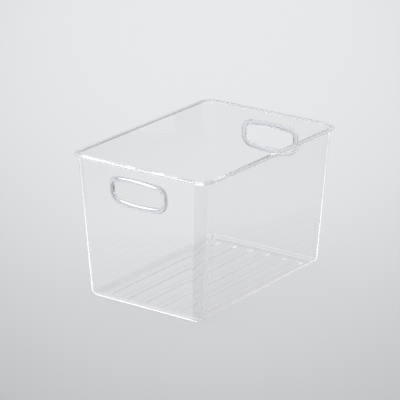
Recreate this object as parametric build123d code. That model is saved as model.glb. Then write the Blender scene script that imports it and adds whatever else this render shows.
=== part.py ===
from build123d import *
import math
import os

# A clear, open-topped storage bin for a fridge shelf. One thin injection-moulded tub has a
# rim lip that falls gently outwards, low bars on its floor and four stacking ribs in its
# corners. A soft grip ring is moulded on round the hand hole at each end. Millimetres; +Z up;
# the origin is at the middle of the underside. Y runs along the bin, from the front end (-Y)
# to the rear end (+Y).

# Tub
HEIGHT = 155.0
OPENING_X = 163.4            # clear mouth, across
OPENING_Y = 233.4            # clear mouth, along
MOUTH_CORNER_RADIUS = 13.6   # inside corner radius at the mouth
BASE_X = 143.4               # outside of the base, across
BASE_Y = 222.4               # outside of the base, along
BASE_CORNER_RADIUS = 11.0    # outside corner radius at the base
WALL = 2.0
FLOOR = 2.2
OUTER_BASE_FILLET = 8.0
INNER_BASE_FILLET = 6.0

# Rim lip, a flat flange that runs round the mouth
LIP_REACH = 5.6              # from the clear mouth to the lip's outer edge
LIP_THICKNESS = 1.7
LIP_SLOPE = 11.0             # degrees that the lip falls below the level
LIP_EDGE_FILLET = 0.6
MOUTH_EDGE_FILLET = 0.6

# Low bars along the floor, which keep food off the wet floor
BAR_COUNT = 6
BAR_PITCH = 21.6
BAR_WIDTH = 10.8
BAR_LENGTH = 193.0
BAR_HEIGHT = 0.5
BAR_CORNER_RADIUS = 2.0
BAR_EDGE_FILLET = 0.45

# Stacking ribs, one thin upright plate in each corner, on which a nested bin comes to rest
RIB_TOP = 50.0
RIB_THICKNESS = 2.2
RIB_DEPTH_TOP = 6.0
RIB_DEPTH_BOTTOM = 4.0
RIB_NOSE_FILLET = 0.9

# Hand holes and the grip rings in them
GRIP_CENTRE_Z = 126.2
GRIP_WIDTH = 73.0
GRIP_HEIGHT = 34.0
GRIP_TOP_CROWN = 3.6         # rise of the upper edge from its ends to its middle
GRIP_BOTTOM_CROWN = 4.2      # drop of the lower edge from its ends to its middle
GRIP_TOP_CORNER_RADIUS = 10.5
GRIP_BOTTOM_CORNER_RADIUS = 14.0
GRIP_BAND = 5.5              # face width of the ring, from its outline to the finger opening
GRIP_WEB = 2.0               # ring material inside the tub's hole
GRIP_PROUD = 3.0             # how far the ring stands off the wall, outside
GRIP_INNER_PROUD = 0.3       # how far its web stands off the wall, inside
GRIP_EDGE_FILLET = 1.6
GRIP_WEB_FILLET = 0.5

TOP_X = OPENING_X + 2 * WALL
TOP_Y = OPENING_Y + 2 * WALL
END_SLOPE = (TOP_Y - BASE_Y) / 2 / HEIGHT
END_LEAN = math.atan(END_SLOPE)
WALL_NORMAL = WALL * math.cos(END_LEAN)   # end wall's thickness square to its face


def at_height(base_value, top_value, z):
    """Return the value at height z of a size that runs straight from base to mouth."""
    return base_value + (top_value - base_value) * z / HEIGHT


def wall_section(z, inset=0.0):
    """Return the rounded rectangle of the walls at height z, moved in by inset."""
    width = at_height(BASE_X, TOP_X, z) - 2 * inset
    length = at_height(BASE_Y, TOP_Y, z) - 2 * inset
    radius = at_height(BASE_CORNER_RADIUS, MOUTH_CORNER_RADIUS + WALL, z) - inset
    return Plane.XY.offset(z) * RectangleRounded(width, length, radius)


def tapered_block(low_z, high_z, inset, base_fillet):
    """Return the solid between two wall sections, with its bottom edge rounded."""
    block = loft([wall_section(low_z, inset), wall_section(high_z, inset)], ruled=True)
    bottom_edges = block.faces().sort_by(Axis.Z)[0].edges()
    return fillet(bottom_edges, base_fillet)


def rim_lip():
    """Return the plate round the mouth, which falls outwards from the wall's outside edge."""
    slope = math.tan(math.radians(LIP_SLOPE))
    depth = LIP_THICKNESS / math.cos(math.radians(LIP_SLOPE))
    fall = (LIP_REACH - WALL) * slope

    def outline(reach, z):
        return Plane.XY.offset(z) * RectangleRounded(
            OPENING_X + 2 * reach, OPENING_Y + 2 * reach, MOUTH_CORNER_RADIUS + reach
        )

    def hood(top):
        return loft([outline(LIP_REACH, top - fall), outline(WALL, top)], ruled=True)

    edge = extrude(outline(LIP_REACH, HEIGHT - fall - depth), depth)
    lip = edge + hood(HEIGHT) - hood(HEIGHT - depth)
    outer_edges = lip.edges().filter_by(
        lambda part: part.bounding_box().size.Z < 0.01
        and max(
            abs(part.center().X) - OPENING_X / 2, abs(part.center().Y) - OPENING_Y / 2
        ) > LIP_REACH - 2.5
        and part.center().Z < HEIGHT - fall + 0.01
    )
    return fillet(outer_edges, LIP_EDGE_FILLET)


def floor_bars():
    """Return the low bars along the floor."""
    bars = Part()
    for index in range(BAR_COUNT):
        x = (index - (BAR_COUNT - 1) / 2) * BAR_PITCH
        outline = RectangleRounded(BAR_WIDTH, BAR_LENGTH, BAR_CORNER_RADIUS)
        bar = extrude(Pos(x, 0, FLOOR / 2) * outline, FLOOR / 2 + BAR_HEIGHT)
        bars += fillet(bar.faces().sort_by(Axis.Z)[-1].edges(), BAR_EDGE_FILLET)
    return bars


def corner_apex(z):
    """Return how far along X and Y the inside of a corner reaches at height z."""
    radius = at_height(BASE_CORNER_RADIUS, MOUTH_CORNER_RADIUS + WALL, z) - WALL
    shortfall = radius * (1 - math.sqrt(0.5))
    x = at_height(BASE_X, TOP_X, z) / 2 - WALL - shortfall
    y = at_height(BASE_Y, TOP_Y, z) / 2 - WALL - shortfall
    return x, y


def stacking_rib():
    """Return the upright plate in the +X +Y corner, left long on its outer side."""
    top_x, top_y = corner_apex(RIB_TOP)
    nose = (top_x - RIB_DEPTH_TOP * math.sqrt(0.5), top_y - RIB_DEPTH_TOP * math.sqrt(0.5), 0)
    floor_x, floor_y = corner_apex(FLOOR)
    floor_reach = (floor_x - nose[0] + floor_y - nose[1]) * math.sqrt(0.5)
    diagonal = Plane(origin=nose, x_dir=(1, 1, 0), z_dir=(1, -1, 0))
    profile = Polyline(
        (floor_reach - RIB_DEPTH_BOTTOM, FLOOR / 2),
        (2 * RIB_DEPTH_TOP, FLOOR / 2),
        (2 * RIB_DEPTH_TOP, RIB_TOP),
        (0, RIB_TOP),
        close=True,
    )
    plate = extrude(diagonal * make_face(profile), RIB_THICKNESS / 2, both=True)
    nose_edges = plate.edges().filter_by(GeomType.LINE).filter_by(
        lambda edge: abs(edge.tangent_at(0).Z) > 0.9
    )
    inner_edges = nose_edges.sort_by(lambda edge: edge.center().X + edge.center().Y)[0:2]
    return fillet(inner_edges, RIB_NOSE_FILLET)


def end_wall_plane():
    """Return the plane of the front wall's outer face, at the middle of its hand hole."""
    face_y = -at_height(BASE_Y, TOP_Y, GRIP_CENTRE_Z) / 2
    outward = (0, -math.cos(END_LEAN), -math.sin(END_LEAN))
    return Plane(origin=(0, face_y, GRIP_CENTRE_Z), x_dir=(1, 0, 0), z_dir=outward)


def grip_outline(inset):
    """Return the grip's crowned outline, moved in by inset all round."""
    half_width = GRIP_WIDTH / 2 - inset
    half_height = GRIP_HEIGHT / 2 - inset
    shoulder = half_height - GRIP_TOP_CROWN
    foot = half_height - GRIP_BOTTOM_CROWN
    border = [
        ThreePointArc((-half_width, shoulder), (0, half_height), (half_width, shoulder)),
        Line((half_width, shoulder), (half_width, -foot)),
        ThreePointArc((half_width, -foot), (0, -half_height), (-half_width, -foot)),
        Line((-half_width, -foot), (-half_width, shoulder)),
    ]
    outline = make_face(border)
    corners = outline.vertices().sort_by(Axis.Y)
    outline = fillet(corners[0:2], GRIP_BOTTOM_CORNER_RADIUS - inset)
    corners = outline.vertices().filter_by(
        lambda corner: abs(abs(corner.X) - half_width) < 0.01 and corner.Y > shoulder - 0.01
    )
    return fillet(corners, GRIP_TOP_CORNER_RADIUS - inset)


def slab(outline, low, high):
    """Return an outline of the end wall's plane as a solid from low to high off its face."""
    return extrude(end_wall_plane() * (Pos(0, 0, low) * outline), high - low)


def hand_hole():
    """Return the solid that cuts the front hand hole."""
    return slab(grip_outline(GRIP_BAND - GRIP_WEB), -2 * WALL, WALL)


def grip_ring():
    """Return the soft ring of the front hand hole: a rounded bead on the wall's outside, and a
    web from it through the hole."""
    opening = slab(grip_outline(GRIP_BAND), -3 * WALL, 3 * WALL)
    outward = Axis((0, 0, 0), end_wall_plane().z_dir)
    bead = slab(grip_outline(0), 0, GRIP_PROUD) - opening
    bead = fillet(bead.faces().filter_by(outward).sort_by(outward)[-1].edges(), GRIP_EDGE_FILLET)
    web = slab(grip_outline(GRIP_BAND - GRIP_WEB), -WALL_NORMAL - GRIP_INNER_PROUD, 0) - opening
    web = fillet(web.faces().filter_by(outward).sort_by(outward)[0].edges(), GRIP_WEB_FILLET)
    return bead + web


def tub():
    """Return the whole clear moulding."""
    outside = tapered_block(0, HEIGHT, 0, OUTER_BASE_FILLET)
    cavity = tapered_block(FLOOR, HEIGHT, WALL, INNER_BASE_FILLET)
    moulding = outside + rim_lip() - cavity
    mouth_edges = moulding.edges().filter_by(
        lambda edge: edge.center().Z > HEIGHT - 0.01
        and abs(edge.center().X) < OPENING_X / 2 + 0.01
        and abs(edge.center().Y) < OPENING_Y / 2 + 0.01
    )
    moulding = fillet(mouth_edges, MOUTH_EDGE_FILLET)
    moulding += floor_bars()
    middle_of_wall = tapered_block(FLOOR / 2, HEIGHT, WALL / 2, OUTER_BASE_FILLET - WALL / 2)
    rib = stacking_rib() & middle_of_wall
    side_ribs = rib + mirror(rib, about=Plane.YZ)
    moulding += side_ribs + mirror(side_ribs, about=Plane.XZ)
    hole = hand_hole()
    return moulding - hole - mirror(hole, about=Plane.XZ)


ring = grip_ring()
pieces = {
    "clear_tub": tub(),
    "front_grip_ring": ring,
    "rear_grip_ring": mirror(ring, about=Plane.XZ),
}

os.makedirs("parts", exist_ok=True)
for name, piece in pieces.items():
    export_step(piece, os.path.join("parts", name + ".step"))
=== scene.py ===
import math

import bpy
import numpy as np
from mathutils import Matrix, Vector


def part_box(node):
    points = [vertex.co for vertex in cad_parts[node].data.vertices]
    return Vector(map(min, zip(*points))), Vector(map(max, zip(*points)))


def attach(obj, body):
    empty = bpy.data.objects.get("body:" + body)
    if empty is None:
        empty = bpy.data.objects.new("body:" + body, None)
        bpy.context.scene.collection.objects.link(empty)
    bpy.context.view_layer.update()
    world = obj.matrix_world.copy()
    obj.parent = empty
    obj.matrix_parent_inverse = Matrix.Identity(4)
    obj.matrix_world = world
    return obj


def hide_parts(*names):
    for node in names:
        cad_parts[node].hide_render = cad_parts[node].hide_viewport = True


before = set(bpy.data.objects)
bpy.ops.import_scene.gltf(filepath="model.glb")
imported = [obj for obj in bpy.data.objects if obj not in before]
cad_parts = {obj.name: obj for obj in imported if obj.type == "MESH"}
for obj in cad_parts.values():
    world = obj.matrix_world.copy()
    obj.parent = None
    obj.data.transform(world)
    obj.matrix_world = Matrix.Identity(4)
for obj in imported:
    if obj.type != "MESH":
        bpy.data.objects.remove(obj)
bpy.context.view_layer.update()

bl_info = {
    "name": "Fridge Bin",
    "version": (1, 0, 0),
    "blender": (4, 5, 0),
    "location": "3D View > Sidebar > Fridge Bin",
    "description": "Dresses a clear fridge bin: its tub, its soft grip rings and a plain studio",
    "category": "Add Mesh",
}

TUB_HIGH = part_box("clear_tub")[1]
HEIGHT = TUB_HIGH.z
QUARTER_TURN = math.pi / 2
CAMERA_AZIMUTH = 35.73  # degrees


# ---------------------------------------------------------------- settings


def length(name, description, default):
    """Return a property that holds a length in metres."""
    return bpy.props.FloatProperty(
        name=name, description=description, default=default, unit="LENGTH", precision=5
    )


def colour(name, description, default):
    """Return a property that holds a linear colour."""
    return bpy.props.FloatVectorProperty(
        name=name, description=description, default=default, subtype="COLOR", size=3, min=0, max=1
    )


def angle(name, description, degrees):
    """Return a property that holds an angle, whose default is given in degrees."""
    return bpy.props.FloatProperty(
        name=name, description=description, default=math.radians(degrees), subtype="ANGLE"
    )


class TubSettings(bpy.types.PropertyGroup):
    """Sizes and colour of the clear tub."""

    base_x: length("Base width", "Outside of the base across the bin", 0.1434)
    base_y: length("Base length", "Outside of the base along the bin", 0.2224)
    base_corner: length("Base corner", "Outside corner radius at the base", 0.011)
    mouth_corner: length("Mouth corner", "Inside corner radius at the mouth", 0.0136)
    wall: length("Wall", "Thickness of the walls, measured level", 0.002)
    floor: length("Floor", "Thickness of the floor", 0.0022)
    outer_fillet: length("Outer base fillet", "Radius under the outside of the walls", 0.008)
    inner_fillet: length("Inner base fillet", "Radius where the walls meet the floor", 0.006)
    lip_reach: length("Lip reach", "From the clear mouth to the lip's outer edge", 0.0056)
    lip_thickness: length("Lip thickness", "Thickness of the rim lip", 0.0017)
    lip_fillet: length("Lip edge", "Rounding of the lip's outer edge", 0.0006)
    lip_slope: angle("Lip slope", "How steeply the lip falls towards its outer edge", 11)
    mouth_fillet: length("Mouth edge", "Rounding of the mouth's inner edge", 0.0006)
    bar_count: bpy.props.IntProperty(
        name="Floor bars", description="How many low bars run along the floor", default=6, min=1
    )
    bar_pitch: length("Bar pitch", "From one floor bar to the next", 0.0216)
    bar_width: length("Bar width", "Width of a floor bar", 0.0108)
    bar_length: length("Bar length", "Length of a floor bar", 0.193)
    bar_height: length("Bar height", "Height of a floor bar", 0.0003)
    bar_side: length("Bar sides", "Width over which a floor bar's long sides rise", 0.0028)
    bar_end: length("Bar ends", "Length over which a floor bar's ends rise", 0.0011)
    rib_top: length("Rib top", "Height of the corner ribs' top faces", 0.05)
    rib_thickness: length("Rib thickness", "Thickness of a corner rib", 0.0022)
    rib_depth_top: length("Rib depth, top", "Depth of a corner rib at its top", 0.006)
    rib_depth_bottom: length("Rib depth, floor", "Depth of a corner rib at the floor", 0.004)
    rib_nose: length("Rib nose", "Rounding of a corner rib's inner edge", 0.0009)
    tint: colour("Tint", "Colour of the clear plastic", (1.0, 1.0, 1.0))


class GripSettings(bpy.types.PropertyGroup):
    """Sizes and colour of the grip rings."""

    centre_z: length("Centre height", "Height of the hand hole's centre", 0.1262)
    width: length("Width", "Width of a grip ring", 0.073)
    height: length("Height", "Height of a grip ring along the wall", 0.034)
    top_crown: length("Top crown", "Rise of the upper edge from its ends to its middle", 0.0036)
    bottom_crown: length("Bottom crown", "Drop of the lower edge from its ends to its middle", 0.0042)
    top_corner: length("Top corners", "Radius of the upper corners", 0.0105)
    bottom_corner: length("Bottom corners", "Radius of the lower corners", 0.014)
    band: length("Band", "Face width, from the outline to the finger opening", 0.0055)
    web: length("Web", "Ring material inside the tub's hole", 0.002)
    proud: length("Outer stand-off", "How far the ring stands off the wall outside", 0.003)
    inner_proud: length("Inner stand-off", "How far the web stands off the wall inside", 0.0003)
    edge: length("Edge", "Rounding of the ring's edges", 0.0027)
    inner_edge: length("Inner edge", "Rounding of the web's end inside", 0.0006)
    play: length("Play", "Hair gap between the ring and the tub", 0.00005)
    tint: colour("Tint", "Colour of the soft rings", (0.93, 0.955, 0.985))


class StudioSettings(bpy.types.PropertyGroup):
    """The camera's place and the floor's colour."""

    azimuth: angle("Azimuth", "Camera's turn round the bin", CAMERA_AZIMUTH)
    elevation: angle("Elevation", "Camera's height above the level", 19.2)
    distance: length("Distance", "From the camera to what it looks at", 2.57236)
    lens: bpy.props.FloatProperty(
        name="Lens", description="Focal length on a 36 mm sensor",
        default=221.35, subtype="DISTANCE_CAMERA",
    )
    aim: bpy.props.FloatVectorProperty(
        name="Aim", description="Point that the camera looks at",
        default=(-0.00771, -0.00066, 0.08647), subtype="TRANSLATION",
    )
    floor_tint: colour("Floor tint", "Colour of the brightest part of the floor", (0.80, 0.807, 0.822))


# ---------------------------------------------------------------- mesh and node helpers


SHARP_FOLD = 40.0  # degrees


def new_piece(name, vertices, faces):
    """Return an object at the origin from points and faces, smooth except at sharp folds."""
    mesh = bpy.data.meshes.new(name)
    mesh.from_pydata(vertices.tolist(), [], faces)
    mesh.validate()
    mesh.shade_smooth()
    mesh.set_sharp_from_angle(angle=math.radians(SHARP_FOLD))
    piece = bpy.data.objects.new(name, mesh)
    bpy.context.scene.collection.objects.link(piece)
    even = piece.modifiers.new("Even shading", "WEIGHTED_NORMAL")
    even.keep_sharp = True
    return piece


def ring_quads(first, second):
    """Return the quads between two closed rings of point numbers, in the rings' own order."""
    return np.stack([first, np.roll(first, -1), np.roll(second, -1), second], -1).tolist()


class Nodes:
    """A short way to build a node tree."""

    def __init__(self, tree):
        self.tree = tree
        tree.nodes.clear()

    def add(self, kind, **inputs):
        """Add a node, and fill in its settings and its input sockets.

        A socket goes by its name, or by i and its number. Any other word is a setting."""
        node = self.tree.nodes.new(kind)
        for key, value in inputs.items():
            name = key.replace("_", " ")
            if key[1:].isdigit():
                self.fill(node.inputs[int(key[1:])], value)
            elif name in node.inputs:
                self.fill(node.inputs[name], value)
            else:
                setattr(node, key, value)
        return node

    def fill(self, socket, value):
        """Give a socket a value, or link another node's socket to it."""
        if isinstance(value, bpy.types.NodeSocket):
            self.tree.links.new(value, socket)
        else:
            socket.default_value = value

    def calculate(self, operation, *values):
        """Return the result of one step of arithmetic on its values."""
        node = self.add("ShaderNodeMath", operation=operation)
        for socket, value in zip(node.inputs, values):
            self.fill(socket, value)
        return node.outputs[0]

    def carry(self, value, span, new_span, **settings):
        """Return a value carried from one span to another in proportion."""
        return self.add(
            "ShaderNodeMapRange", i0=value, i1=span[0], i2=span[1], i3=new_span[0], i4=new_span[1],
            **settings,
        ).outputs[0]


def new_material(name):
    """Return an empty node material and its node builder."""
    material = bpy.data.materials.new(name)
    material.use_nodes = True
    return material, Nodes(material.node_tree)


# ---------------------------------------------------------------- the clear tub

# Heights of the loops of points on the straight stretches of the walls: outside under the hand
# holes, beside them on both faces, inside under them, and along the ribs. One more loop lies
# just above the ribs' tops.
OUTSIDE_LEVELS = np.linspace(0.015, 0.095, 5)
HOLE_LEVELS = np.linspace(0.1035, 0.1475, 9)
INSIDE_LEVELS = (0.095, 0.07)
RIB_LEVELS = (0.04, 0.03, 0.02, 0.012)
ABOVE_RIB = 0.0001

# How far from the middle of an end wall the mesh is opened for its hand hole, on either side.
HOLE_REACH = 0.0385

# Radius of the hollow where the lip's underside meets the wall.
LIP_CROOK = 0.0008

# A rib's rounded top edge: how far the nose stands back there, and how far down that is.
RIB_TOP_EDGE = ((0.0005, 0), (0.00025, 0.00007), (0.00007, 0.00025), (0, 0.0005))

# The floor's grid lines at a bar's edge start this far before it and end past its rise, as a
# factor of the rise. The plain lines divide the length of the floor.
BEFORE_BAR = 0.0002
PAST_RISE = 1.25
PLAIN_LINES = np.linspace(-0.08, 0.08, 9)


def wall_sizes(tub, z, inset):
    """Return half width, half length and corner radius of the walls at heights z, moved in by
    inset. Each runs straight from its value at the base to its value at the mouth."""
    share_up = z / HEIGHT
    mouth_x = TUB_HIGH.x - tub.lip_reach + tub.wall
    mouth_y = TUB_HIGH.y - tub.lip_reach + tub.wall
    half_x = tub.base_x / 2 + (mouth_x - tub.base_x / 2) * share_up
    half_y = tub.base_y / 2 + (mouth_y - tub.base_y / 2) * share_up
    radius = tub.base_corner + (tub.mouth_corner + tub.wall - tub.base_corner) * share_up
    return half_x - inset, half_y - inset, radius - inset


def lip_sizes(tub, reach):
    """Return half width, half length and corner radius of a loop that stands reach outside the mouth."""
    return (
        TUB_HIGH.x - tub.lip_reach + reach,
        TUB_HIGH.y - tub.lip_reach + reach,
        tub.mouth_corner + reach,
    )


def tub_rows(tub):
    """Return half_x, half_y, radius, z, ribbed and nose_back, each with a value for every loop.

    The loops follow the wall's section: out along the underside's fillet, up the outside, under
    and over the lip, down the inside and round the inner fillet to the floor. A fillet is a
    quarter circle, of which each point's sine and cosine give the height and the inset. The lip
    is a plate that falls outwards at lip_slope, so its heights follow from the line of its top."""
    rows = []

    def walls(z, inset, ribbed=0.0, nose_back=0.0):
        """Add loops on the walls at heights z, moved in by inset."""
        z, inset = np.broadcast_arrays(np.asarray(z, float), np.asarray(inset, float))
        for height, moved in zip(z.ravel(), inset.ravel()):
            rows.append((*wall_sizes(tub, height, moved), height, ribbed, nose_back))

    def lip(reach, z):
        """Add loops at heights z that stand reach outside the mouth."""
        for out, height in zip(np.atleast_1d(reach), np.atleast_1d(z)):
            rows.append((*lip_sizes(tub, out), height, 0.0, 0.0))

    turn = np.linspace(0, QUARTER_TURN, 11)
    walls(tub.outer_fillet * (1 - np.cos(turn)), tub.outer_fillet * (1 - np.sin(turn)))
    walls(OUTSIDE_LEVELS, 0)
    walls(HOLE_LEVELS, 0)

    slope = tub.lip_slope
    edge, mouth = tub.lip_fillet, tub.mouth_fillet
    top = mouth * math.sin(slope) + (HEIGHT - mouth) * math.cos(slope) + mouth

    def under_top(reach, depth):
        """Return the height of a line that lies depth under the lip's top, square to it."""
        return (top - depth - reach * math.sin(slope)) / math.cos(slope)

    turn = np.linspace(2 * QUARTER_TURN, QUARTER_TURN - slope, 6)
    reach = tub.wall + LIP_CROOK
    centre_z = under_top(reach, tub.lip_thickness + LIP_CROOK)
    lip(reach + LIP_CROOK * np.cos(turn), centre_z + LIP_CROOK * np.sin(turn))
    turn = np.linspace(-QUARTER_TURN - slope, QUARTER_TURN - slope, 14)
    reach = tub.lip_reach - edge
    centre_z = np.where(turn < 0, under_top(reach, tub.lip_thickness - edge), under_top(reach, edge))
    lip(reach + edge * np.cos(turn), centre_z + edge * np.sin(turn))
    turn = np.linspace(QUARTER_TURN - slope, 2 * QUARTER_TURN, 8)
    lip(mouth + mouth * np.cos(turn), HEIGHT - mouth + mouth * np.sin(turn))

    walls(HOLE_LEVELS[::-1], tub.wall)
    walls((*INSIDE_LEVELS, tub.rib_top + ABOVE_RIB), tub.wall)
    for back, down in RIB_TOP_EDGE:
        walls(tub.rib_top - down, tub.wall, ribbed=1.0, nose_back=back)
    walls(RIB_LEVELS, tub.wall, ribbed=1.0)
    turn = np.linspace(QUARTER_TURN, 0, 13)
    walls(
        tub.floor + tub.inner_fillet * (1 - np.cos(turn)),
        tub.wall + tub.inner_fillet * (1 - np.sin(turn)),
        ribbed=1.0,
    )
    return np.array(rows).T


def rib_nose_line(tub, z):
    """Return the rib's inner edge in the corner of the +X +Y quarter, at heights z.

    It runs straight up the plane at 45 degrees through the corner: rib_depth_top in from the
    inside of the corner at the rib's top, and rib_depth_bottom in from it at the floor."""
    diagonal = math.sqrt(0.5)

    def apex(height):
        """Return the middle of the corner's inside at a height."""
        half_x, half_y, radius = wall_sizes(tub, height, tub.wall)
        return np.array([half_x, half_y]) - radius * (1 - diagonal)

    top = apex(tub.rib_top) - tub.rib_depth_top * diagonal
    foot_step = ((apex(tub.floor) - top).sum() * diagonal - tub.rib_depth_bottom) * diagonal
    down = (tub.rib_top - z) / (tub.rib_top - tub.floor / 2)
    return top[0] + foot_step * down, top[1] + foot_step * down


def corner_curve(tub, half_x, half_y, radius, z, ribbed, nose_back):
    """Return the +X +Y corner of every loop, one row of points a loop.

    It is an arc about the corner's centre. Its middle stretch, across the rib's thickness, is
    pushed in along the diagonal to the rib's rounded nose where the loop is ribbed. There, w is
    a point's place across the diagonal and depth its place along it, from the arc's centre."""
    diagonal = math.sqrt(0.5)
    eighth_turn = QUARTER_TURN / 2
    centre_x, centre_y = half_x - radius, half_y - radius
    nose_x, nose_y = rib_nose_line(tub, z)
    across = np.where(ribbed > 0, (nose_y - centre_y - nose_x + centre_x) * diagonal, 0)
    reach = (nose_x - centre_x + nose_y - centre_y) * diagonal + nose_back
    half = tub.rib_thickness / 2

    spread = np.linspace(0, 1, 9)
    foot_low = eighth_turn + np.arcsin((across - half) / radius)
    foot_high = eighth_turn + np.arcsin((across + half) / radius)
    arc_low = foot_low * spread
    arc_high = foot_high + (QUARTER_TURN - foot_high) * spread

    turn = np.linspace(0, QUARTER_TURN, 7)
    bend_w = half - tub.rib_nose * (1 - np.sin(turn[::-1]))
    bend_in = tub.rib_nose * (1 - np.cos(turn[::-1]))
    nose_w = np.concatenate([-bend_w, bend_w[::-1]])
    nose_in = np.concatenate([bend_in, bend_in[::-1]])
    count = len(nose_w)
    plain_w = half * (2 * np.arange(1, count + 1) / (count + 1) - 1)

    rib_depth = reach + nose_in
    rib_w = across + nose_w
    stands = (ribbed > 0) & (rib_depth < np.sqrt(np.maximum(radius**2 - rib_w**2, 0)))
    w = np.where(stands, rib_w, across + plain_w)
    depth = np.where(stands, rib_depth, np.sqrt(radius**2 - w**2))
    rib_x, rib_y = (depth - w) * diagonal, (depth + w) * diagonal

    x = np.concatenate([radius * np.cos(arc_low), rib_x, radius * np.cos(arc_high)], 1)
    y = np.concatenate([radius * np.sin(arc_low), rib_y, radius * np.sin(arc_high)], 1)
    return centre_x + x, centre_y + y


def bar_lines(low_edges, high_edges, rise):
    """Return the grid lines that the floor bars' low and high edges need over their rise."""
    steps = np.concatenate([[-BEFORE_BAR], np.linspace(0, rise, 9), [PAST_RISE * rise]])
    return np.concatenate(
        [edge + steps for edge in low_edges] + [edge - steps for edge in high_edges]
    )


def floor_grid_lines(tub):
    """Return the floor's grid lines across and along, each sorted."""
    centres = (np.arange(tub.bar_count) - (tub.bar_count - 1) / 2) * tub.bar_pitch
    across = bar_lines(centres - tub.bar_width / 2, centres + tub.bar_width / 2, tub.bar_side)
    ends = bar_lines([-tub.bar_length / 2], [tub.bar_length / 2], tub.bar_end)
    return np.sort(across), np.sort(np.concatenate([ends, PLAIN_LINES]))


def floor_height(tub, x, y):
    """Return the floor's height. A bar rises as half a cosine wave from each side and each end."""
    last = tub.bar_count - 1
    nearest = np.clip(np.round(x / tub.bar_pitch + last / 2), 0, last) - last / 2
    from_side = tub.bar_width / 2 - np.abs(x - nearest * tub.bar_pitch)
    from_end = tub.bar_length / 2 - np.abs(y)

    def rise(depth, width):
        """Return the share of the full height at a depth inside a bar's edge."""
        return (1 - np.cos(2 * QUARTER_TURN * np.clip(depth / width, 0, 1))) / 2

    return tub.floor + tub.bar_height * rise(from_side, tub.bar_side) * rise(from_end, tub.bar_end)


def hole_loops(tub, grip, border, rear):
    """Return the outer and inner edge of a hand hole, one point for each point of the border
    round it. A point lies where the ray from the hole's centre through its border point meets
    the grip's outline, moved in to the edge of the hole."""
    outline, outward = grip_outline(grip)
    hole = outline - (grip.band - grip.web) * outward
    plane = end_plane(tub, grip)
    x = border[:, 0]
    up = (border[:, 2] - grip.centre_z) / plane["up"][2]
    ray = np.arctan2(up, x)
    angles = np.arctan2(hole[:, 1], hole[:, 0])
    reach = np.interp(ray, angles, np.hypot(hole[:, 0], hole[:, 1]), period=4 * QUARTER_TURN)
    flat = np.stack([reach * np.cos(ray), reach * np.sin(ray)], -1)
    thickness = tub.wall * plane["up"][2]
    return place_on_end(plane, flat, 0.0, rear), place_on_end(plane, flat, -thickness, rear)


def loop_points(tub, rows, across, along):
    """Return the points of the tub's loops, a row for each loop, and how many a corner has.

    A loop runs anticlockwise from the front of the right side. Its straight sides are divided in
    the proportions of the floor's grid, so that the lines of the floor run on up the walls."""
    half_x, half_y, radius, z, ribbed, nose_back = (row[:, None] for row in rows)
    corner_x, corner_y = corner_curve(tub, half_x, half_y, radius, z, ribbed, nose_back)
    along_side = along / (half_y - radius)[-1] * (half_y - radius)
    across_side = across / (half_x - radius)[-1] * (half_x - radius)
    wide_x = np.broadcast_to(half_x, along_side.shape)
    wide_y = np.broadcast_to(half_y, across_side.shape)
    x = np.concatenate([
        wide_x, corner_x, across_side[:, ::-1], -corner_x[:, ::-1],
        -wide_x, -corner_x, across_side, corner_x[:, ::-1],
    ], 1)
    y = np.concatenate([
        along_side, corner_y, wide_y, corner_y[:, ::-1],
        along_side[:, ::-1], -corner_y, -wide_y, -corner_y[:, ::-1],
    ], 1)
    return np.stack([x, y, np.broadcast_to(z, x.shape)], -1), corner_x.shape[1]


def hole_border(number, rows, columns):
    """Return the numbers of the points round a rectangle of the walls: along its first row, up
    its last column, and back."""
    return np.concatenate([
        number[rows[0], columns], number[rows[1:-1], columns[-1]],
        number[rows[-1], columns[::-1]], number[rows[-2:0:-1], columns[0]],
    ])


def hole_rows(points):
    """Return the rows of the hole levels outside and inside the walls, each from the lowest up."""
    outer_low, inner_low = np.flatnonzero(np.isclose(points[:, 0, 2], HOLE_LEVELS[0]))
    steps = np.arange(len(HOLE_LEVELS))
    return outer_low + steps, inner_low - steps


def floor_faces(grid, last_loop, corner_count):
    """Return the faces of the floor's grid, and of the strip that joins its border to a loop.

    The grid has no corner curves, so a whole corner of the loop meets one point of it."""
    faces = np.stack([grid[:-1, :-1], grid[:-1, 1:], grid[1:, 1:], grid[1:, :-1]], -1)
    faces = faces.reshape(-1, 4).tolist()
    corner = np.ones(corner_count, int)
    border = np.concatenate([
        grid[1:-1, -1], corner * grid[-1, -1], grid[-1, -2:0:-1], corner * grid[-1, 0],
        grid[-2:0:-1, 0], corner * grid[0, 0], grid[0, 1:-1], corner * grid[0, -1],
    ])
    for quad in ring_quads(last_loop, border):
        faces.append(quad if quad[2] != quad[3] else quad[:3])
    return faces


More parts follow.
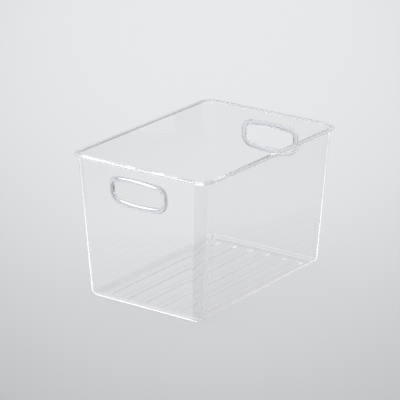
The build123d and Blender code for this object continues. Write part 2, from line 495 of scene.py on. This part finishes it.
def build_tub(tub, grip):
    """Return the tub as one closed surface: the wall's section carried round the bin's plan,
    with the floor as a height over a grid and a hand hole let into each end wall."""
    rows = tub_rows(tub)
    across, along = floor_grid_lines(tub)
    points, corner_count = loop_points(tub, rows, across, along)
    number = np.arange(points[..., 0].size).reshape(points.shape[:2])
    walls = points.reshape(-1, 3)
    vertices, faces = [walls], []
    next_number = len(walls)

    # The hand holes: each has a border of wall points outside and inside, and two edge loops.
    rear_start = len(along) + corner_count
    front_start = rear_start + len(across) + len(along) + 2 * corner_count
    first = int(np.searchsorted(across, -HOLE_REACH))
    keep = np.ones((number.shape[0] - 1, number.shape[1]), bool)
    for start, rear in ((front_start, False), (rear_start, True)):
        columns = start + np.arange(first, len(across) - first)
        borders = []
        for levels in hole_rows(points):
            borders.append(hole_border(number, levels, columns))
            keep[np.ix_(np.arange(min(levels), max(levels)), columns[:-1])] = False
        vertices += hole_loops(tub, grip, walls[borders[0]], rear)
        outer_edge = next_number + np.arange(len(borders[0]))
        inner_edge = outer_edge + len(borders[0])
        next_number += 2 * len(borders[0])
        faces += ring_quads(borders[0], outer_edge)
        faces += ring_quads(outer_edge, inner_edge)
        faces += ring_quads(inner_edge, borders[1])

    # The walls, without the cells that the hand holes take out, and the underside.
    right = np.roll(number, -1, 1)
    cells = np.stack([number[:-1], right[:-1], right[1:], number[1:]], -1)
    faces += cells[keep].tolist()
    faces.append(number[0, ::-1].tolist())

    # The floor: its grid reaches the centres of the corner curves of the last loop.
    half_x, half_y, radius = rows[:3, -1]
    grid_x = np.concatenate([[radius - half_x], across, [half_x - radius]])
    grid_y = np.concatenate([[radius - half_y], along, [half_y - radius]])
    floor_x, floor_y = np.meshgrid(grid_x, grid_y)
    floor = np.stack([floor_x, floor_y, floor_height(tub, floor_x, floor_y)], -1)
    grid = next_number + np.arange(floor_x.size).reshape(floor_x.shape)
    faces += floor_faces(grid, number[-1], corner_count)
    vertices.append(floor.reshape(-1, 3))
    return new_piece("clear_tub_moulding", np.concatenate(vertices), faces)


# ---------------------------------------------------------------- the grip rings


def end_plane(tub, grip):
    """Return the outer face of the front end wall at its hand hole: origin, up and outward."""
    mouth_y = TUB_HIGH.y - tub.lip_reach + tub.wall
    slope = (mouth_y - tub.base_y / 2) / HEIGHT
    lean = math.atan(slope)
    return {
        "origin": np.array([0, -(tub.base_y / 2 + slope * grip.centre_z), grip.centre_z]),
        "up": np.array([0, -math.sin(lean), math.cos(lean)]),
        "outward": np.array([0, -math.cos(lean), -math.sin(lean)]),
    }


def place_on_end(plane, flat, height, rear):
    """Return points of the end wall's plane, height off its face, on the front or rear end."""
    placed = (
        plane["origin"]
        + flat[..., :1] * np.array([1, 0, 0])
        + flat[..., 1:] * plane["up"]
        + np.asarray(height)[..., None] * plane["outward"]
    )
    return placed * np.array([1, -1, 1]) if rear else placed


def grip_outline(grip):
    """Return the grip's outline and its outward direction at each point, in the wall's plane.

    It goes round from the right: a straight side, an upper corner arc, the upper crown, which is
    a shallow arc, the other upper corner, and the same below. A corner arc touches the straight
    side and the crown, so its centre lies one radius in from both."""
    half_width, half_height = grip.width / 2, grip.height / 2

    def quarter(corner, crown):
        """Return a quarter of the outline, from the middle of the right side up to the top."""
        big = (half_width**2 + crown**2) / (2 * crown)
        crown_centre = half_height - big
        centre_x = half_width - corner
        centre_y = crown_centre + math.sqrt((big - corner) ** 2 - centre_x**2)
        touch = math.atan2(centre_y - crown_centre, centre_x)
        arc = np.linspace(0, touch, 15)[:-1]
        top = np.linspace(touch, QUARTER_TURN, 13)
        side = np.linspace(0, centre_y, 4)[:-1]
        x = np.concatenate(
            [np.full_like(side, half_width), centre_x + corner * np.cos(arc), big * np.cos(top)]
        )
        y = np.concatenate([side, centre_y + corner * np.sin(arc), crown_centre + big * np.sin(top)])
        facing = np.concatenate([np.zeros_like(side), arc, top])
        return x, y, np.cos(facing), np.sin(facing)

    upper = np.array(quarter(grip.top_corner, grip.top_crown))
    lower = np.array(quarter(grip.bottom_corner, grip.bottom_crown))
    flip_x = np.array([[-1], [1], [-1], [1]])
    flip_y = np.array([[1], [-1], [1], [-1]])
    x, y, facing_x, facing_y = np.concatenate([
        upper, (upper * flip_x)[:, -2:0:-1], lower * flip_x * flip_y, (lower * flip_y)[:, -2:0:-1],
    ], 1)
    return np.stack([x, y], -1), np.stack([facing_x, facing_y], -1)


def grip_section(tub, grip):
    """Return the ring's section as inset and height off the wall: a rounded bead on the outside,
    and a web from it through the hole. A rounding is a quarter circle."""
    thickness = tub.wall * end_plane(tub, grip)["up"][2]
    web = grip.band - grip.web + grip.play
    end = -thickness - grip.inner_proud
    sine = np.sin(np.linspace(0, QUARTER_TURN, 9))
    cosine = sine[::-1]
    inset = np.concatenate([
        [web, web, 0.0],
        grip.edge * (1 - cosine), grip.band - grip.edge * (1 - sine), [grip.band],
        grip.band - grip.inner_edge * (1 - cosine),
    ])
    height = np.concatenate([
        [end, grip.play, grip.play],
        grip.proud - grip.edge * (1 - sine), grip.proud - grip.edge * (1 - cosine), [0.0],
        end + grip.inner_edge * (1 - sine),
    ])
    return inset, height


def build_grip(tub, grip, name, rear):
    """Return a grip ring: its section carried round its outline."""
    outline, outward = grip_outline(grip)
    inset, height = grip_section(tub, grip)
    flat = outline[None] - inset[:, None, None] * outward[None]
    heights = np.broadcast_to(height[:, None], flat.shape[:2])
    points = place_on_end(end_plane(tub, grip), flat, heights, rear)
    rows, columns = flat.shape[:2]
    number = np.arange(rows * columns).reshape(rows, columns)
    right, above = np.roll(number, -1, 1), np.roll(number, -1, 0)
    quads = np.stack([number, right, np.roll(above, -1, 1), above], -1).reshape(-1, 4)
    if rear:
        quads = quads[:, ::-1]
    return new_piece(name, points.reshape(-1, 3), quads.tolist())


# ---------------------------------------------------------------- materials


def clear_plastic(tint):
    """Polished clear plastic, with a faint moulding ripple and fine wiping marks."""
    material, nodes = new_material("clear_plastic")
    place = nodes.add("ShaderNodeTexCoord").outputs["Object"]
    marks = nodes.add("ShaderNodeTexNoise", Vector=place, Scale=220.0, Detail=6.0, Roughness=0.6)
    rough = nodes.carry(marks.outputs[0], (0.35, 0.75), (0.0, 0.01))
    ripple = nodes.add("ShaderNodeTexNoise", Vector=place, Scale=18.0, Detail=1.0)
    bump = nodes.add("ShaderNodeBump", Strength=0.02, Distance=0.0005, Height=ripple.outputs[0])
    surface = nodes.add(
        "ShaderNodeBsdfPrincipled", Base_Color=(*tint, 1), Roughness=rough, IOR=1.49,
        Transmission_Weight=1.0, Normal=bump.outputs[0],
    )
    nodes.add("ShaderNodeOutputMaterial", Surface=surface.outputs[0])
    return material


def soft_rubber(tint):
    """Translucent soft rubber with a satin skin."""
    material, nodes = new_material("soft_rubber")
    place = nodes.add("ShaderNodeTexCoord").outputs["Object"]
    grain = nodes.add("ShaderNodeTexNoise", Vector=place, Scale=900.0, Detail=3.0)
    bump = nodes.add("ShaderNodeBump", Strength=0.01, Distance=0.0001, Height=grain.outputs[0])
    rough = nodes.carry(grain.outputs[0], (0.3, 0.7), (0.0, 0.02))
    surface = nodes.add(
        "ShaderNodeBsdfPrincipled", Base_Color=(*tint, 1), Roughness=rough, IOR=1.5,
        Transmission_Weight=1.0, Normal=bump.outputs[0],
    )
    nodes.add("ShaderNodeOutputMaterial", Surface=surface.outputs[0])
    return material


# The painted pool of light on the floor, a glow in the floor's colour: its middle and half sizes in
# metres, across and along a line that is turned with the camera's first place, how quickly it
# fades, and its level far out.
POOL_MIDDLE = (0.009, 1.1)
POOL_HALF = (0.536, 1.587)
POOL_POWER = 4.0
POOL_FAR_LEVEL = 0.419

# The share of the floor's colour that the world lights, and about how bright the world makes a
# white floor.
LIT_SHARE = 0.1
WORLD_LIGHT = 0.9


def pale_floor(tint):
    """A pale studio floor with a painted pool of light, a glow which fades with the distance from its
    middle: far level + (1 - far level) * exp(-distance ** power), in half sizes of the pool.

    The floor glows with that painted level, less what the world's light adds on its diffuse share."""
    material, nodes = new_material("pale_floor")
    place = nodes.add("ShaderNodeTexCoord").outputs["Object"]
    turned = nodes.add(
        "ShaderNodeMapping", Vector=place, Rotation=(0, 0, math.radians(-CAMERA_AZIMUTH))
    )
    shifted = nodes.add(
        "ShaderNodeMapping", Vector=turned.outputs[0],
        Location=(-POOL_MIDDLE[0] / POOL_HALF[0], -POOL_MIDDLE[1] / POOL_HALF[1], 0),
        Scale=(1 / POOL_HALF[0], 1 / POOL_HALF[1], 0),
    )
    away = nodes.add("ShaderNodeVectorMath", operation="LENGTH", i0=shifted.outputs[0])
    power = nodes.calculate("POWER", away.outputs["Value"], POOL_POWER)
    fade = nodes.calculate("EXPONENT", nodes.calculate("MULTIPLY", power, -1.0))
    level = nodes.carry(fade, (0.0, 1.0), (POOL_FAR_LEVEL, 1.0))
    unlit = nodes.calculate("SUBTRACT", level, WORLD_LIGHT * LIT_SHARE)
    # The emission paints the pool of light onto the floor; only the diffuse share takes real light and
    # shadow.
    glow = nodes.add("ShaderNodeEmission", Color=(*tint, 1), Strength=unlit)
    paint = nodes.add("ShaderNodeBsdfDiffuse", Color=(*(LIT_SHARE * part for part in tint), 1))
    both = nodes.add("ShaderNodeAddShader", i0=glow.outputs[0], i1=paint.outputs[0])
    nodes.add("ShaderNodeOutputMaterial", Surface=both.outputs[0])
    return material


# ---------------------------------------------------------------- studio


# The floor lies a hair under the bin, so that the two never share a face.
FLOOR_LEVEL = -0.0004
FLOOR_INNER_RADIUS = 0.05
FLOOR_RADIUS = 6.0


def build_floor():
    """Return a wide round floor just under the bin: rings whose radius grows by a steady factor.

    It is hidden from glossy rays, so that the panels below the bin can show in its gloss."""
    spokes, rings = 96, 24
    turn = np.linspace(0, 4 * QUARTER_TURN, spokes, endpoint=False)
    step = np.arange(rings) / (rings - 1)
    radius = FLOOR_INNER_RADIUS * (FLOOR_RADIUS / FLOOR_INNER_RADIUS) ** step
    x, y = radius[:, None] * np.cos(turn), radius[:, None] * np.sin(turn)
    points = np.stack([x, y, np.full_like(x, FLOOR_LEVEL)], -1).reshape(-1, 3)
    number = np.arange(rings * spokes).reshape(rings, spokes)
    faces = [number[0].tolist()]
    for inner, outer in zip(number[:-1], number[1:]):
        faces += ring_quads(outer, inner)
    floor = new_piece("studio_floor", points, faces)
    floor.visible_glossy = False
    return floor


ROOM_LEVEL = 0.75
ROOM_TINT = (0.985, 0.99, 1.0)
PANEL_SOFTNESS = 0.06  # radians, from a panel's edge to where it is at full strength

# What stands round the bin, as seen from it: the azimuth and elevation of its middle, its width,
# its height and its brightness. Angles are in degrees, and an azimuth is counted to the right
# from straight behind the bin, where the camera looks from its first place.
PANELS = {
    "overhead_softbox": (0, 90, 360, 52, 1.5),
    "back_softbox": (-9, 37.5, 22, 15, 2.8),
    "left_high_softbox": (-90, 37.5, 90, 15, 2.2),
    "right_high_flag": (69, 37.5, 130, 15, 0.15),
    "left_flag": (-95, 18, 60, 24, 0.3),
    "right_flag": (95, 21, 60, 18, 0.4),
    "back_high_flag": (0, 13, 70, 8, 0.35),
    "back_flag": (0, -9, 70, 18, 0.1),
    "left_low_card": (-95, -28.5, 60, 13, 1.5),
    "left_strip": (-50, -28.5, 30, 13, 4.0),
    "right_strip": (47, -28.5, 24, 13, 3.8),
    "right_low_card": (95, -28.5, 60, 13, 0.65),
    "front_flag": (180, -28.5, 110, 13, 0.05),
    "low_left_softbox": (-90, -47.5, 90, 25, 2.0),
    "low_back_softbox": (-22.5, -47.5, 45, 25, 3.0),
}


def studio_world(azimuth):
    """A pale room with softboxes, cards and flags round the bin.

    Every panel is a window in azimuth and elevation with soft edges, which draws the room's
    brightness to its own: room + window * (panel - room)."""
    world = bpy.data.worlds.new("studio_world")
    bpy.context.scene.world = world
    world.use_nodes = True
    nodes = Nodes(world.node_tree)
    direction = nodes.add("ShaderNodeTexCoord").outputs["Generated"]
    turned = nodes.add("ShaderNodeMapping", Vector=direction, Rotation=(0, 0, -azimuth))
    parts = nodes.add("ShaderNodeSeparateXYZ", Vector=turned.outputs[0]).outputs
    around = nodes.calculate("ARCTAN2", parts["X"], parts["Y"])
    above = nodes.calculate("ARCSINE", parts["Z"])

    def inside(offset, degrees):
        """Return 1 where an offset lies inside a window that many degrees wide, and 0 outside."""
        away = nodes.calculate("ABSOLUTE", offset)
        half = math.radians(degrees) / 2
        span = (half - PANEL_SOFTNESS, half + PANEL_SOFTNESS)
        return nodes.carry(away, span, (1.0, 0.0), interpolation_type="SMOOTHSTEP")

    level = ROOM_LEVEL
    for panel_azimuth, elevation, width, height, brightness in PANELS.values():
        turn = nodes.calculate("SUBTRACT", around, math.radians(panel_azimuth))
        wrapped = nodes.calculate("WRAP", turn, math.pi, -math.pi)
        rise = nodes.calculate("SUBTRACT", above, math.radians(elevation))
        window = nodes.calculate("MULTIPLY", inside(wrapped, width), inside(rise, height))
        level = nodes.carry(window, (0.0, 1.0), (level, brightness), clamp=False)
    sky = nodes.add("ShaderNodeBackground", Color=(*ROOM_TINT, 1), Strength=level)
    nodes.add("ShaderNodeOutputWorld", Surface=sky.outputs[0])


SENSOR_WIDTH = 36  # millimetres
VIEW_END = 100  # metres


def build_camera(studio):
    """Place the camera at the settings' angle, distance and lens."""
    data = bpy.data.cameras.new("studio_camera")
    data.lens = studio.lens
    data.sensor_width = SENSOR_WIDTH
    data.clip_end = VIEW_END
    camera = bpy.data.objects.new("studio_camera", data)
    bpy.context.scene.collection.objects.link(camera)
    turn, rise = studio.azimuth, studio.elevation
    back = (math.sin(turn) * math.cos(rise), -math.cos(turn) * math.cos(rise), math.sin(rise))
    camera.location = [studio.aim[axis] + studio.distance * back[axis] for axis in range(3)]
    camera.rotation_euler = (QUARTER_TURN - rise, 0, turn)
    bpy.context.scene.camera = camera


# ---------------------------------------------------------------- operators

# Light runs down inside the thin walls, and with far fewer bounces the rims turn dark.
BOUNCES = 240


class FRIDGEBIN_OT_clear_tub(bpy.types.Operator):
    """Build the clear tub"""

    bl_idname = "fridgebin.clear_tub"
    bl_label = "Clear tub"

    def execute(self, context):
        scene = context.scene
        piece = build_tub(scene.fridgebin_tub, scene.fridgebin_grip)
        piece.data.materials.append(clear_plastic(scene.fridgebin_tub.tint))
        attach(piece, "root")
        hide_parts("clear_tub")
        return {"FINISHED"}


class FRIDGEBIN_OT_grip_rings(bpy.types.Operator):
    """Build the soft grip ring of each hand hole"""

    bl_idname = "fridgebin.grip_rings"
    bl_label = "Grip rings"

    def execute(self, context):
        scene = context.scene
        rubber = soft_rubber(scene.fridgebin_grip.tint)
        for end, rear in (("front", False), ("rear", True)):
            piece = build_grip(scene.fridgebin_tub, scene.fridgebin_grip, end + "_grip", rear)
            piece.data.materials.append(rubber)
            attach(piece, "root")
            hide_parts(end + "_grip_ring")
        return {"FINISHED"}


class FRIDGEBIN_OT_studio(bpy.types.Operator):
    """Set up the floor, the world and the camera"""

    bl_idname = "fridgebin.studio"
    bl_label = "Studio"

    def execute(self, context):
        scene = context.scene
        studio = scene.fridgebin_studio
        floor = build_floor()
        floor.data.materials.append(pale_floor(studio.floor_tint))
        studio_world(studio.azimuth)
        build_camera(studio)
        scene.view_settings.view_transform = "Standard"
        scene.cycles.transmission_bounces = BOUNCES
        scene.cycles.glossy_bounces = BOUNCES
        scene.cycles.max_bounces = BOUNCES
        return {"FINISHED"}


class FRIDGEBIN_PT_panel(bpy.types.Panel):
    """Lists the operators and settings of the fridge bin"""

    bl_idname = "FRIDGEBIN_PT_panel"
    bl_label = "Fridge Bin"
    bl_space_type = "VIEW_3D"
    bl_region_type = "UI"
    bl_category = "Fridge Bin"

    def draw(self, context):
        for operator in OPERATORS:
            self.layout.operator(operator.bl_idname)
        for name in SETTINGS:
            group = getattr(context.scene, name)
            box = self.layout.box()
            for key in group.__annotations__:
                box.prop(group, key)


SETTINGS = {
    "fridgebin_tub": TubSettings,
    "fridgebin_grip": GripSettings,
    "fridgebin_studio": StudioSettings,
}
OPERATORS = (FRIDGEBIN_OT_clear_tub, FRIDGEBIN_OT_grip_rings, FRIDGEBIN_OT_studio)


def register():
    """Register the settings, the operators and the panel."""
    for name, group in SETTINGS.items():
        bpy.utils.register_class(group)
        setattr(bpy.types.Scene, name, bpy.props.PointerProperty(type=group))
    for cls in (*OPERATORS, FRIDGEBIN_PT_panel):
        bpy.utils.register_class(cls)


def unregister():
    """Take back what register() did."""
    for cls in (FRIDGEBIN_PT_panel, *OPERATORS):
        bpy.utils.unregister_class(cls)
    for name, group in SETTINGS.items():
        delattr(bpy.types.Scene, name)
        bpy.utils.unregister_class(group)


def main():
    """Build the whole scene."""
    register()
    bpy.ops.fridgebin.clear_tub()
    bpy.ops.fridgebin.grip_rings()
    bpy.ops.fridgebin.studio()


if __name__ == "__main__":
    main()
